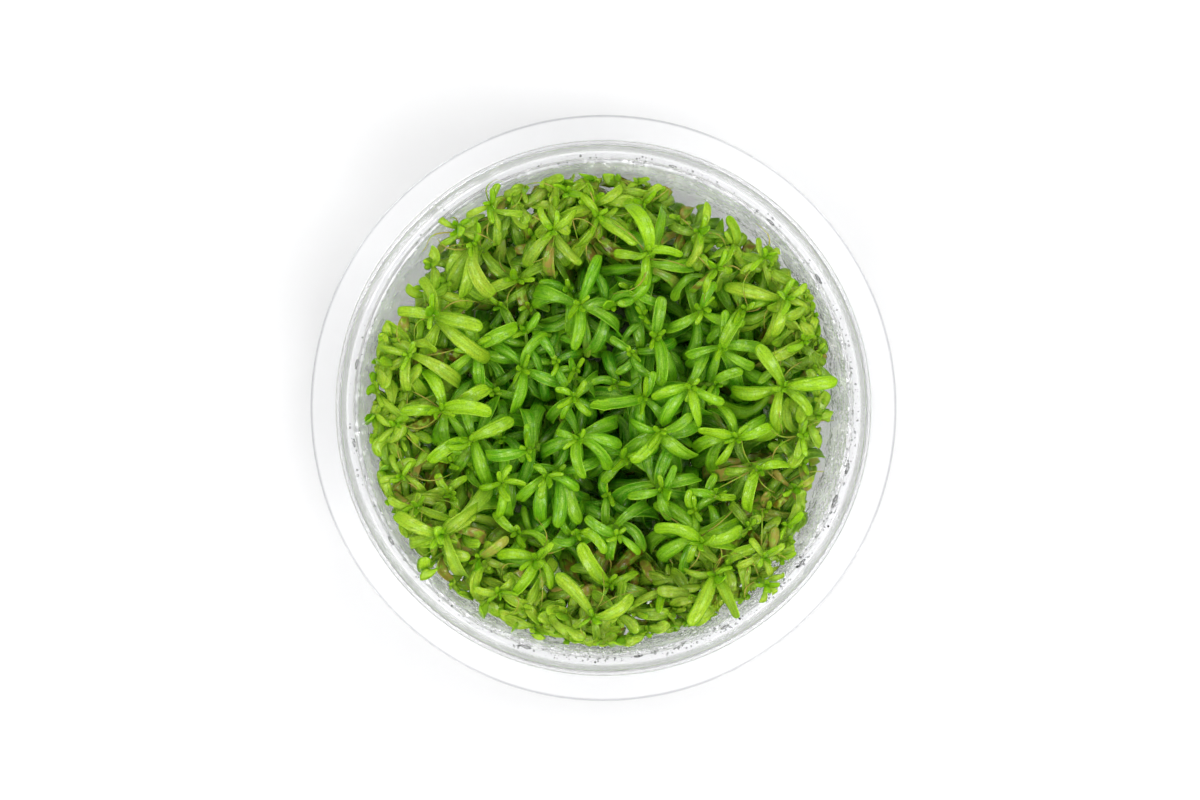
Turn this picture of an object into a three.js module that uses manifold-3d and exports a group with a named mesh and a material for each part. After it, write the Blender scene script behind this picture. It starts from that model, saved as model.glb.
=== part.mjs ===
// A clear plastic tissue culture cup, open at the top, packed with young shoots of rotala on a bed of clear gel.
// Millimetres, +Z up. The origin is the middle of the foot that the cup stands on.
import * as THREE from "three";
import { mergeVertices } from "three/addons/utils/BufferGeometryUtils.js";
import Module from "manifold-3d";

const wasm = await Module();
wasm.setup();

// Cup
const CUP_HEIGHT = 52;
const FLANGE_RADIUS = 47.5;
const FLANGE_THICKNESS = 0.9;
const WALL = 0.8;
const MOUTH_RADIUS = 42.6;
const MOUTH_ROUNDING = 0.5;
const COLLAR_DEPTH = 7;
const COLLAR_FOOT_RADIUS = 42.2;
const LEDGE_RADIUS = 40.3;
const FLOOR_RADIUS = 33;
const FLOOR_CORNER = 3;
const FOOT_RECESS = 1.2;
const FOOT_INNER_RADIUS = 26;
const CUP_FACETS = 32;
const ROUNDING_STEPS = 2;
const CUP_LOOK = { color: 0xe9eef0, roughness: 0.12, metalness: 0, transparent: true, opacity: 0.35 };

// Gel
const GEL_TOP = 10;
const GEL_LOOK = { color: 0xe6ead8, roughness: 0.2, metalness: 0, transparent: true, opacity: 0.6 };
const GAP = 0.3; // between pieces
const TOUCH = 1e-5; // mm3 of overlap that counts as touching

// Shoots
const STEM_RADIUS = 0.55;
const STEM_SIDES = 3;
const STEM_STEPS = 3;
const STEM_SPREAD = 0.8; // a stem's foot, as a share of its crown's distance from the middle
const STEM_WANDER = 2.2; // how far that foot may stray
const STEM_BOW = 1.5; // above 1, a stem rises first and leans later
const LEAF_THICKNESS = 0.5;
const LEAF_SLENDERNESS = 0.25; // width over length
const LEAF_WIDTHS = [1.25, 2.5]; // least and most
// Where a blade has its corners, as shares of its length and width: on the two upper levels and on the lower ones.
const UPPER_STATIONS = [
  [0.32, 0.9],
  [0.8, 1],
];
const LOWER_STATIONS = [[0.55, 1.1]];
const LEAF_ROLL = 26;
const LEAF_SWAY = 0.12; // how far it bows to one side, as a share of its length
const CURL_SPREAD = 26;
const BEARING_SPREAD = 14;
const WALL_MARGIN = 0.55;
const LEAF_HEADROOM = 0.6; // below the rim, and above the gel
const OVER_LEDGE = [0.9, 2.4]; // heights over the ledge between which leaves may reach out above it
const SOFTNESS = 1.6;
const LEAVES_IN_PAIR = 2;
// By level, from the crown down: the drop below the crown, the rise of the leaf at its base and how far it bends down.
const LEVEL_DROP = [0.6, 2.1, 4.4, 7.6];
const LEVEL_LIFT = [62, 50, 36, 20];
const LEVEL_CURL = [98, 112, 112, 100];
const LEVEL_SIZE = [0.6, 0.85, 1, 1];
const FULL_LEVELS = 3; // levels that have a whole pair, seen from above or not

// Where two shoots would meet, a leaf is turned and lifted by these until it is clear.
const TURNS = [0, 9, -9, 18, -18, 27, -27];
const LIFTS = [0, 14, -14];
const WAYS = LIFTS.flatMap((lifted) => TURNS.map((turned) => [lifted, turned]));
const LEAF_PROBES = [0.25, 0.45, 0.65, 0.85, 1];
const PROBE_SHARE = 0.36; // a probe's radius, as a share of the leaf's width
const STEM_PROBES = 16;
const CLEAR = 0.1;

const SHOOT_LOOKS = {
  lime: { color: 0x93c01f, roughness: 0.45, metalness: 0 },
  green: { color: 0x4f9420, roughness: 0.45, metalness: 0 },
  olive: { color: 0x8a8a3a, roughness: 0.5, metalness: 0 },
};

// One row for each shoot, read off the photograph by eye: the crown's x, y and height, the bearing of its upper leaf
// pair, its leaf length, its tone, and the leaves that show from above as [bearing, reach].
const SHOOTS = [
  [7.2, 25.6, 48, 12, 7, "lime", [[107, 8.5], [348, 5.6], [168, 5.5], [268, 5], [82, 9], [240, 4.5]]],
  [-8.3, 29.2, 47, 40, 7, "lime", [[40, 5], [127, 4.5], [223, 7.2], [306, 6.8], [258, 6.8]]],
  [-3.8, 17, 44, 60, 8.5, "green", [[62, 8.8], [255, 7.5], [163, 8], [330, 8], [30, 7.5], [272, 8], [200, 6.5]]],
  [-18.4, 33.2, 48, 80, 5, "green", [[80, 4], [200, 4.5], [285, 4], [0, 5]]],
  [-23.8, 29.6, 47, 60, 5, "green", [[150, 4.5], [60, 3.5], [215, 4], [330, 3.5]]],
  [-21.6, 27, 45, 85, 8, "green", [[265, 9], [286, 9], [243, 8.5]]],
  [-28.1, 15.4, 45, 66, 8, "lime", [[104, 6.4], [346, 8.5], [165, 6.5], [331, 11]]],
  [-32.2, 8.8, 45, 80, 6.5, "lime", [[175, 5], [265, 6], [210, 5], [350, 9], [305, 5.5]]],
  [-1.6, 33.6, 43, 20, 6.5, "lime", [[25, 5.5], [200, 6], [120, 4.5], [320, 6.5]]],
  [6.5, 34, 41, 35, 6, "green", [[150, 5], [45, 4.5]]],
  [18.6, 23, 46, 55, 4.5, "lime", [[50, 4.6], [250, 4.6], [350, 3], [150, 3.5]]],
  [29.9, 18.2, 46, 75, 7, "lime", [[262, 6.6], [40, 4.2], [165, 9.5], [345, 4.6]]],
  [26.4, 24.6, 46, 30, 4, "green", [[110, 3.5], [20, 3.5], [200, 4], [290, 4]]],
  [15.8, 29.2, 44, 75, 6, "green", [[75, 5], [252, 6]]],
  [-14.2, 21.6, 38, 15, 7, "olive", [[195, 6.5], [20, 6]]],
  [-26.8, -0.5, 45, 10, 7.5, "lime", [[178, 6.6], [350, 8.4], [105, 7.5], [30, 8.6], [276, 5.6], [312, 6]]],
  [-34.2, -3, 43, 60, 5, "lime", [[160, 4], [230, 4]]],
  [-33.4, -11.4, 43, 40, 5, "lime", [[190, 4], [120, 4], [300, 5]]],
  [-16.8, -12.5, 44.6, 80, 6, "lime", [[70, 3.4], [5, 4], [195, 4.2], [262, 6]]],
  [-12.6, -6.8, 43, 85, 7, "green", [[86, 4.2], [186, 7], [110, 6.6]]],
  [-5, 1.8, 41, 55, 5.5, "lime", [[320, 4.2], [150, 3.2], [240, 4]]],
  [-4.2, -5.2, 43, 20, 7, "lime", [[160, 3.8], [285, 6.5], [318, 7.2], [345, 7.4]]],
  [6.7, 1.8, 42, 70, 8, "green", [[70, 4.6], [195, 9], [312, 6], [272, 6]]],
  [14.5, 3.4, 44.8, 60, 7, "lime", [[340, 6], [288, 6.6], [226, 7.6], [196, 6.6]]],
  [-9.5, -11.6, 44, 45, 6.5, "lime", [[266, 3.6], [130, 3], [318, 6], [214, 6], [258, 8.4]]],
  [19.7, 10.2, 43, 80, 7, "green", [[78, 6], [355, 6.6], [195, 6], [326, 6.4], [250, 6.8], [284, 8.6]]],
  [29.6, 3.4, 47, 10, 8, "lime", [[128, 8.2], [10, 8.8], [264, 7], [322, 6.6], [190, 7.6]]],
  [22, -5, 43.6, 25, 6.5, "lime", [[25, 6], [165, 6.6], [112, 6], [242, 5.6]]],
  [25.4, -10.4, 45, 15, 6, "lime", [[15, 5.4], [250, 6.8], [185, 5]]],
  [33, -4.6, 43, 70, 4.5, "green", [[80, 4], [255, 4], [345, 3]]],
  [31.6, -13.4, 42, 35, 4.5, "olive", [[40, 4], [215, 4.5]]],
  [33.2, 11.2, 42, 40, 7, "green", [[215, 6.8], [60, 4.5]]],
  [-26.5, -20.7, 48, 35, 8, "lime", [[35, 7.4], [150, 8.2], [200, 7], [318, 8], [286, 4.8]]],
  [-17.3, -30.4, 44, 20, 5.5, "lime", [[168, 4.2], [35, 3.2], [205, 4.4], [330, 5.6]]],
  [-11.4, -25.1, 45, 55, 7, "lime", [[50, 4.2], [232, 6.6], [300, 5.8], [170, 6.6], [262, 6]]],
  [-1.9, -34.4, 47, 30, 8, "lime", [[28, 7.6], [122, 9.2], [215, 4], [285, 4.4], [248, 4.6]]],
  [1, -29.4, 41, 50, 8, "green", [[133, 8.4], [20, 5]]],
  [9.8, -13.6, 44, 95, 7, "green", [[60, 4.6], [186, 5.8], [10, 6.6], [290, 5.6], [98, 7.6]]],
  [2.4, -21, 42, 40, 6.5, "green", [[150, 6], [325, 5], [250, 5]]],
  [16.1, -22.2, 47, 20, 7.5, "lime", [[165, 8], [20, 7.2], [350, 6.6], [250, 4]]],
  [18.3, -27.6, 46, 60, 8, "lime", [[250, 9], [290, 8], [180, 5]]],
  [26.4, -24.6, 48, 45, 4.5, "green", [[120, 4], [30, 4], [210, 4.4], [300, 4]]],
  [26.8, -29, 48, 0, 4.5, "green", [[315, 3.4], [275, 4], [35, 4]]],
  [30.4, -19.6, 42, 60, 5, "olive", [[60, 4.5], [230, 5]]],
  [-13.4, 6.4, 39, 65, 8, "green", [[60, 7], [250, 7.5], [160, 7], [335, 7]]],
  [8.6, 11.6, 40, 75, 8, "green", [[258, 8], [80, 7], [300, 8]]],
  [-21.4, 9.8, 41, 20, 8, "green", [[30, 8], [215, 7]]],
  [3.6, -8.2, 39, 10, 7, "green", [[170, 5.6], [15, 6], [320, 7], [240, 6]]],
  [10.6, -31, 40, 20, 7, "olive", [[15, 6], [190, 6]]],
  [16.4, 16.4, 41, 70, 7.5, "green", [[340, 7.5], [70, 5], [200, 6]]],
  [-6.1, 35.4, 45, 0, 5, "lime", [[135, 2.8], [38, 2.8], [190, 6.6], [255, 4.5]]],
  [-0.9, 31.6, 45, 60, 7.5, "lime", [[325, 8], [130, 5], [228, 5.5], [40, 4]]],
  [-31, -16.4, 44, 30, 5.5, "lime", [[158, 5], [340, 6], [250, 5]]],
  [-20.6, -25, 42, 50, 6, "olive", [[40, 6], [250, 5], [140, 5], [330, 5]]],
  [-22.2, -5.4, 43, 30, 8, "green", [[20, 8], [215, 7.5], [110, 6], [300, 8]]],
  [-7.2, -11, 40, 80, 8.5, "green", [[262, 9], [292, 9], [180, 6], [20, 7]]],
  [9.4, -3.8, 43, 40, 7.5, "lime", [[30, 6], [232, 7], [318, 7.5], [140, 5]]],
  [23.2, 16.2, 43, 20, 7, "green", [[205, 7], [20, 5], [290, 7], [110, 5]]],
];
const SHOOT_NAME = (index) => `shoot_${String(index + 1).padStart(2, "0")}`;

const radians = THREE.MathUtils.degToRad;
const UP = new THREE.Vector3(0, 0, 1);

// A number from -amount to amount that is always the same for the same seed.
function stray(seed, amount) {
  const wave = Math.sin(seed * 12.9898 + 4.1414) * 43758.5453;
  return (2 * (wave - Math.floor(wave)) - 1) * amount;
}

// A value held below a limit, which it nears ever more slowly over its last stretch.
function held(value, limit, softness) {
  const start = limit - softness;
  return value < start ? value : limit - softness * Math.exp((start - value) / softness);
}

// Inside radius of the cup at a height: the tapered wall, and the collar's foot from just above the ledge.
function wallRadius(z) {
  const ledge = CUP_HEIGHT - COLLAR_DEPTH;
  const taper = THREE.MathUtils.lerp(FLOOR_RADIUS, LEDGE_RADIUS, Math.min(z / ledge, 1));
  const over = THREE.MathUtils.smoothstep(z - ledge, ...OVER_LEDGE);
  return THREE.MathUtils.lerp(taper, COLLAR_FOOT_RADIUS, over);
}

// A point of a leaf, held inside the cup and above the gel.
function keepInside(point, margin) {
  point.z = held(point.z, CUP_HEIGHT - LEAF_HEADROOM, SOFTNESS);
  point.z = -held(-point.z, -GEL_TOP - LEAF_HEADROOM, SOFTNESS);
  const radius = Math.hypot(point.x, point.y);
  const share = held(radius, wallRadius(point.z) - margin, SOFTNESS) / Math.max(radius, 1);
  point.x *= Math.min(share, 1);
  point.y *= Math.min(share, 1);
  return point;
}

// A stem stands on the gel, rises and then leans out to its crown.
function stemOf(index, [x, y, top]) {
  const foot = new THREE.Vector3(x * STEM_SPREAD, y * STEM_SPREAD, GEL_TOP + GAP);
  foot.x += stray(index * 3 + 1, STEM_WANDER);
  foot.y += stray(index * 3 + 2, STEM_WANDER);
  return { foot, crown: new THREE.Vector3(x, y, top) };
}

function stemPoint({ foot, crown }, t) {
  const lean = t ** STEM_BOW;
  return new THREE.Vector3(
    THREE.MathUtils.lerp(foot.x, crown.x, lean),
    THREE.MathUtils.lerp(foot.y, crown.y, lean),
    THREE.MathUtils.lerp(foot.z, crown.z, t),
  );
}

// The leaves of a row, by level: first those that the row names, then the pairs at right angles that continue them.
function leavesOf(index, row) {
  const [, , , turn, size, , seen] = row;
  const wanted = seen.map(([bearing, reach], i) => ({
    level: Math.min(Math.floor(i / LEAVES_IN_PAIR), LEVEL_DROP.length - 1),
    bearing,
    reach,
  }));
  for (let level = Math.ceil(seen.length / LEAVES_IN_PAIR); level < FULL_LEVELS; level++)
    for (let half = 0; half < LEAVES_IN_PAIR; half++)
      wanted.push({
        level,
        bearing: turn + 90 * level + 180 * half + stray(index * 31 + level * 5 + half, BEARING_SPREAD),
        reach: size * LEVEL_SIZE[level],
      });
  return wanted.map((leaf, i) => ({ ...leaf, seed: index * 53 + i * 3 }));
}

// A leaf leaves its stem at an angle of lift, bends down by curl on its way and bows a little to one side.
function leafAt(stem, wanted, turned, lifted) {
  const height = stem.crown.z - stem.foot.z;
  const base = stemPoint(stem, 1 - LEVEL_DROP[wanted.level] / height);
  const bearing = radians(wanted.bearing + turned);
  const lift = radians(LEVEL_LIFT[wanted.level] + lifted);
  const curl = radians(LEVEL_CURL[wanted.level] + stray(wanted.seed + 1, CURL_SPREAD));
  const length = (wanted.reach * curl) / (Math.sin(lift) - Math.sin(lift - curl));
  return {
    level: wanted.level,
    base,
    lift,
    curl,
    length,
    width: THREE.MathUtils.clamp(length * LEAF_SLENDERNESS, ...LEAF_WIDTHS),
    sway: stray(wanted.seed + 2, LEAF_SWAY) * length,
    roll: radians(stray(wanted.seed, LEAF_ROLL)),
    along: new THREE.Vector3(Math.cos(bearing), Math.sin(bearing), 0),
    across: new THREE.Vector3(-Math.sin(bearing), Math.cos(bearing), 0),
  };
}

// The middle of a leaf at a share s of its length, with the directions across it and out of its upper face.
function leafFrame(leaf, s) {
  const rise = leaf.lift - leaf.curl * s;
  const out = (leaf.length / leaf.curl) * (Math.sin(leaf.lift) - Math.sin(rise));
  const up = (leaf.length / leaf.curl) * (Math.cos(rise) - Math.cos(leaf.lift));
  const normal = leaf.along.clone().multiplyScalar(-Math.sin(rise)).addScaledVector(UP, Math.cos(rise));
  const ahead = leaf.along.clone().multiplyScalar(Math.cos(rise)).addScaledVector(UP, Math.sin(rise));
  ahead.addScaledVector(leaf.across, ((4 * leaf.sway) / leaf.length) * (1 - 2 * s)).normalize();
  const side = leaf.across.clone().multiplyScalar(Math.cos(leaf.roll)).addScaledVector(normal, Math.sin(leaf.roll));
  side.addScaledVector(ahead, -side.dot(ahead)).normalize();
  normal.crossVectors(ahead, side);
  const point = leaf.base.clone().addScaledVector(leaf.along, out).addScaledVector(UP, up);
  point.addScaledVector(leaf.across, 4 * leaf.sway * s * (1 - s));
  const radial = Math.abs(side.x * point.x + side.y * point.y) / Math.max(1, Math.hypot(point.x, point.y));
  keepInside(point, WALL_MARGIN + (radial * leaf.width) / 2);
  return { point, side, normal };
}

const probes = []; // balls along every stem and leaf that is already in its place

function roomFor(points, radius, owner) {
  let room = Infinity;
  for (const probe of probes)
    if (probe.owner !== owner)
      for (const point of points) room = Math.min(room, point.distanceTo(probe.point) - probe.radius - radius);
  return room;
}

// The first way that leaves room, or the one that leaves the most.
function placeLeaf(stem, wanted, owner) {
  let best = { room: -Infinity };
  for (const [lifted, turned] of WAYS) {
    const leaf = leafAt(stem, wanted, turned, lifted);
    const points = LEAF_PROBES.map((s) => leafFrame(leaf, s).point);
    const radius = leaf.width * PROBE_SHARE;
    const room = roomFor(points, radius, owner);
    if (room > best.room) best = { leaf, points, radius, room };
    if (room > CLEAR) break;
  }
  for (const point of best.points) probes.push({ point, radius: best.radius, owner });
  return best.leaf;
}

// Every shoot of the tuft: all stems first, then the leaves level by level, so that the upper ones keep their aim.
function growTuft() {
  const tuft = SHOOTS.map((row, index) => ({
    name: SHOOT_NAME(index),
    tone: row[5],
    stem: stemOf(index, row),
    wanted: leavesOf(index, row),
    leaves: [],
  }));
  for (const { name, stem } of tuft)
    for (let i = 0; i <= STEM_PROBES; i++)
      probes.push({ point: stemPoint(stem, i / STEM_PROBES), radius: STEM_RADIUS, owner: name });
  LEVEL_DROP.forEach((_, level) => {
    for (const shoot of tuft)
      for (const wanted of shoot.wanted)
        if (wanted.level === level) shoot.leaves.push(placeLeaf(shoot.stem, wanted, shoot.name));
  });
  return tuft;
}

// Solids from three.js geometry, for joining and cutting.
function solidFrom(geometry) {
  geometry.deleteAttribute("normal");
  geometry.deleteAttribute("uv");
  const merged = mergeVertices(geometry, 1e-4);
  return new wasm.Manifold(
    new wasm.Mesh({
      numProp: 3,
      vertProperties: merged.attributes.position.array,
      triVerts: new Uint32Array(merged.index.array),
    }),
  );
}

function geometryFrom(solid) {
  const mesh = solid.getMesh();
  return new THREE.BufferGeometry()
    .setAttribute("position", new THREE.BufferAttribute(mesh.vertProperties, 3))
    .setIndex(new THREE.BufferAttribute(mesh.triVerts, 1));
}

// A stem as a thin many-sided rod along its curve.
function stemSolid(stem, extra = 0) {
  const points = Array.from({ length: STEM_STEPS + 1 }, (_, i) => stemPoint(stem, i / STEM_STEPS));
  const section = new THREE.Shape();
  for (let i = 0; i < STEM_SIDES; i++) {
    const angle = (2 * Math.PI * i) / STEM_SIDES;
    const radius = STEM_RADIUS + extra;
    section[i ? "lineTo" : "moveTo"](radius * Math.cos(angle), radius * Math.sin(angle));
  }
  const extrudePath = new THREE.CatmullRomCurve3(points);
  return solidFrom(new THREE.ExtrudeGeometry(section, { steps: STEM_STEPS, bevelEnabled: false, extrudePath }));
}

// A leaf blade as a keeled sliver: flat above, ridged below, pointed at both ends. Extra is added all round it.
function leafSolid(leaf, extra = 0) {
  const corners = [leafFrame(leaf, 0).point];
  for (const [s, share] of leaf.level < 2 ? UPPER_STATIONS : LOWER_STATIONS) {
    const { point, side, normal } = leafFrame(leaf, s);
    const half = (leaf.width * share) / 2 + extra;
    corners.push(
      point.clone().addScaledVector(side, half).addScaledVector(normal, extra),
      point.clone().addScaledVector(side, -half).addScaledVector(normal, extra),
      point.clone().addScaledVector(normal, -LEAF_THICKNESS - extra),
    );
  }
  const tip = corners.length;
  corners.push(leafFrame(leaf, 1).point);
  const faces = [];
  for (let i = 0; i < 3; i++) {
    const next = (i + 1) % 3;
    faces.push(0, 1 + next, 1 + i);
    for (let row = 1; row < tip - 3; row += 3)
      faces.push(row + i, row + next, row + 3 + next, row + i, row + 3 + next, row + 3 + i);
    faces.push(tip - 3 + i, tip - 3 + next, tip);
  }
  const geometry = new THREE.BufferGeometry();
  geometry.setAttribute("position", new THREE.Float32BufferAttribute(corners.flatMap((c) => c.toArray()), 3));
  geometry.setIndex(faces);
  return solidFrom(geometry);
}

const largest = (solid) => solid.decompose().reduce((a, b) => (a.volume() > b.volume() ? a : b));

// Stem and leaves joined in one solid, cut back where a neighbour that is already made would be touched.
function shootSolid(shoot, neighbours) {
  const pieces = (extra) => [stemSolid(shoot.stem, extra), ...shoot.leaves.map((leaf) => leafSolid(leaf, extra))];
  let solid = pieces(0).reduce((a, b) => a.add(b));
  for (const swollen of neighbours.flat())
    if (solid.intersect(swollen).volume() > TOUCH) solid = solid.subtract(swollen);
  neighbours.push(pieces(GAP));
  return largest(solid);
}

// A profile for turning, as [radius, height, rounding] corners. Each rounded corner becomes a few short steps.
function turnedProfile(corners) {
  return corners.flatMap(([r, z, rounding = 0], i) => {
    const corner = new THREE.Vector2(r, z);
    if (!rounding) return [corner];
    const before = new THREE.Vector2(...corners[i - 1]).sub(corner).setLength(rounding).add(corner);
    const after = new THREE.Vector2(...corners[i + 1]).sub(corner).setLength(rounding).add(corner);
    return new THREE.QuadraticBezierCurve(before, corner, after).getPoints(ROUNDING_STEPS);
  });
}

// Turned about +Z. Profiles run counter-clockwise with the radius to the right and the height up.
function turned(corners) {
  return new THREE.LatheGeometry(turnedProfile(corners), CUP_FACETS).rotateX(Math.PI / 2);
}

function cupGeometry() {
  const ledge = CUP_HEIGHT - COLLAR_DEPTH;
  const underFlange = CUP_HEIGHT - FLANGE_THICKNESS;
  return turned([
    [0, FOOT_RECESS],
    [FOOT_INNER_RADIUS, FOOT_RECESS],
    [FOOT_INNER_RADIUS + FOOT_RECESS, 0],
    [FLOOR_RADIUS + WALL, 0, FLOOR_CORNER],
    [LEDGE_RADIUS + WALL, ledge - WALL],
    [COLLAR_FOOT_RADIUS + WALL, ledge - WALL],
    [MOUTH_RADIUS + WALL, underFlange],
    [FLANGE_RADIUS, underFlange],
    [FLANGE_RADIUS, CUP_HEIGHT],
    [MOUTH_RADIUS, CUP_HEIGHT, MOUTH_ROUNDING],
    [COLLAR_FOOT_RADIUS, ledge],
    [LEDGE_RADIUS, ledge],
    [FLOOR_RADIUS, WALL, FLOOR_CORNER - WALL],
    [FOOT_INNER_RADIUS + FOOT_RECESS, WALL],
    [FOOT_INNER_RADIUS, FOOT_RECESS + WALL],
    [0, FOOT_RECESS + WALL],
  ]);
}

// The gel fills the bottom of the cup, a small gap inside its walls.
function gelGeometry() {
  const top = wallRadius(GEL_TOP) - GAP;
  return turned([
    [0, FOOT_RECESS + WALL + GAP],
    [FOOT_INNER_RADIUS, FOOT_RECESS + WALL + GAP],
    [FOOT_INNER_RADIUS + FOOT_RECESS, WALL + GAP],
    [FLOOR_RADIUS - GAP, WALL + GAP, FLOOR_CORNER - WALL],
    [top, GEL_TOP],
    [0, GEL_TOP],
  ]);
}

function mesh(name, geometry, look) {
  const piece = new THREE.Mesh(geometry, new THREE.MeshStandardMaterial(look));
  piece.name = name;
  return piece;
}

const jar = new THREE.Group();
jar.add(mesh("culture_cup", cupGeometry(), CUP_LOOK));
jar.add(mesh("gel", gelGeometry(), GEL_LOOK));
const neighbours = [];
for (const shoot of growTuft())
  jar.add(mesh(shoot.name, geometryFrom(shootSolid(shoot, neighbours)), SHOOT_LOOKS[shoot.tone]));

export default jar;
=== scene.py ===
# Open clear culture cup packed with young rotala shoots, seen from straight above. Metres, +Z up.
import math
from collections import namedtuple
from functools import cached_property
from types import SimpleNamespace

import bpy
import numpy as np
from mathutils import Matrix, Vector


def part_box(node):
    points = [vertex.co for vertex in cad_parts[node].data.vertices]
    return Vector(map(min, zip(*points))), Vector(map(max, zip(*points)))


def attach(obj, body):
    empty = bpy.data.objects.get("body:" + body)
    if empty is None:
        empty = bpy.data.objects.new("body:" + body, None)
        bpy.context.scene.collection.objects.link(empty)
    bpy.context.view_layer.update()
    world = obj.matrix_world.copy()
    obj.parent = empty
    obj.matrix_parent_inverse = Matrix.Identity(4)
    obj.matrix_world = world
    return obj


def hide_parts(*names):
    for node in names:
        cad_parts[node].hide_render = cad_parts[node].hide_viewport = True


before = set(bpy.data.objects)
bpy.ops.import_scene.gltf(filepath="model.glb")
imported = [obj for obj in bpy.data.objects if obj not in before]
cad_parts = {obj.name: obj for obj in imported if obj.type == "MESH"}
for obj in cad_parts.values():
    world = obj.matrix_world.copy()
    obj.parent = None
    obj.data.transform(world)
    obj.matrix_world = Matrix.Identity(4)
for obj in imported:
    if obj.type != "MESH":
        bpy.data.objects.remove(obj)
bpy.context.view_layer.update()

MM = 0.001
UP = np.array((0.0, 0.0, 1.0))

# Camera: the photograph looks straight down. The flange is FLANGE_PX across in its 1200 x 800 frame.
IMAGE_PX = (1200, 800)
AXIS_PX = (603.5, 408.0)
FLANGE_PX = 586.0
CAMERA_HEIGHT = 0.5  # over the flange
CAMERA_NEAR = 0.01
SENSOR = 36.0

cup_high = Vector(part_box("culture_cup")[1])
CUP_HEIGHT = cup_high.z / MM
FLANGE_RADIUS = cup_high.x / MM
METRES_PER_PX = 2 * FLANGE_RADIUS * MM / FLANGE_PX


def add_object(name, data):
    piece = bpy.data.objects.new(name, data)
    bpy.context.scene.collection.objects.link(piece)
    return piece


def make_camera():
    data = bpy.data.cameras.new("camera")
    camera = add_object("camera", data)
    data.sensor_width = SENSOR
    data.lens = SENSOR * CAMERA_HEIGHT / (IMAGE_PX[0] * METRES_PER_PX)
    data.clip_start = CAMERA_NEAR
    x, y = IMAGE_PX[0] / 2 - AXIS_PX[0], AXIS_PX[1] - IMAGE_PX[1] / 2
    camera.location = (x * METRES_PER_PX, y * METRES_PER_PX, cup_high.z + CAMERA_HEIGHT)
    bpy.context.scene.camera = camera


make_camera()

# Light: an even white room and a ring of softboxes about the camera, strongest at the lower right
RING_DISTANCE = 0.75
RING_TILT = math.radians(30)  # so that the flange mirrors none of them
RING_SIZE = 0.3
RING = ((-45, 3.1), (45, 1.6), (135, 1.45), (225, 1.75))  # bearing and power
RING_AIM = Vector((0.0, 0.0, 0.04))
ROOM = 0.5


def make_light():
    scene = bpy.context.scene
    scene.view_settings.view_transform = "Standard"
    world = bpy.data.worlds.new("studio")
    scene.world = world
    world.use_nodes = True
    background = world.node_tree.nodes["Background"]
    background.inputs["Color"].default_value = (1.0, 1.0, 1.0, 1.0)
    background.inputs["Strength"].default_value = ROOM
    out, up = math.sin(RING_TILT) * RING_DISTANCE, math.cos(RING_TILT) * RING_DISTANCE
    for bearing, power in RING:
        data = bpy.data.lights.new("softbox", "AREA")
        data.shape = "DISK"
        data.size = RING_SIZE
        data.energy = power
        lamp = add_object("softbox", data)
        turn = math.radians(bearing)
        lamp.location = RING_AIM + Vector((out * math.cos(turn), out * math.sin(turn), up))
        lamp.rotation_euler = (RING_AIM - lamp.location).to_track_quat("-Z", "Y").to_euler()


make_light()

# The cup, in millimetres
WALL = 0.8
MOUTH_RADIUS = 42.6
COLLAR_DEPTH = 7.0
COLLAR_RADIUS = 42.2
LEDGE_RADIUS = 40.3
LEDGE = CUP_HEIGHT - COLLAR_DEPTH
FLOOR_RADIUS = 33.0
FLANGE_THICKNESS = 0.9
FOOT_RECESS = 1.2
RECESS_RADIUS = 26.0
GEL_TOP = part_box("gel")[1][2] / MM
GAP = 0.3  # between pieces

# Growth of the shoots, in millimetres and degrees, by the rules that the solids follow
STEM_RADIUS = 0.55
STEM_SPREAD = 0.8  # of a stem's foot, as a share of its crown's
STEM_WANDER = 2.2
STEM_BOW = 1.5
LEAF_SLENDERNESS = 0.25
LEAF_WIDTHS = (1.25, 2.5)
LEAF_ROLL = 26
LEAF_SWAY = 0.12
CURL_SPREAD = 26
BEARING_SPREAD = 14
WALL_MARGIN = 0.55
LEAF_HEADROOM = 0.6
OVER_LEDGE = (0.9, 2.4)  # heights over it between which leaves spread out to the collar
SOFTNESS = 1.6
FULL_LEVELS = 3
LEVEL_DROP = (0.6, 2.1, 4.4, 7.6)
LEVEL_LIFT = (62, 50, 36, 20)
LEVEL_CURL = (98, 112, 112, 100)
LEVEL_SIZE = (0.6, 0.85, 1, 1)
SOLID_LEVELS = 4
# Whorls of three that fill the shade beneath: drop, lift, curl and size
LOWER_LEVELS = ((6.2, 14, 82, 1.0), (9.0, 6, 76, 1.05), (12.2, 0, 68, 1.05), (15.8, -4, 60, 1.0))
LOWER_LEVELS += ((19.8, -6, 50, 0.95), (24.2, -8, 44, 0.9), (28.8, -10, 36, 0.85))
LOWER_WHORL = 3
LOWER_ROOM = 4  # over the stem's foot
LOWER_REACH = 6.0  # at the least
SIDE_SWAY = 0.24
# How a leaf may give way to others, as (lifted, turned)
WAYS = [(lifted, turned) for lifted in (0, 14, -14) for turned in (0, 9, -9, 18, -18, 27, -27)]
LEAF_PROBES = np.array((0.25, 0.45, 0.65, 0.85, 1.0))
PROBE_SHARE = 0.36
STEM_PROBES = 16
CLEAR = 0.1
CROWD_HEIGHT = 0.8  # on a stem, about which its leaves look for others
CROWD_REACH = 40

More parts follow.
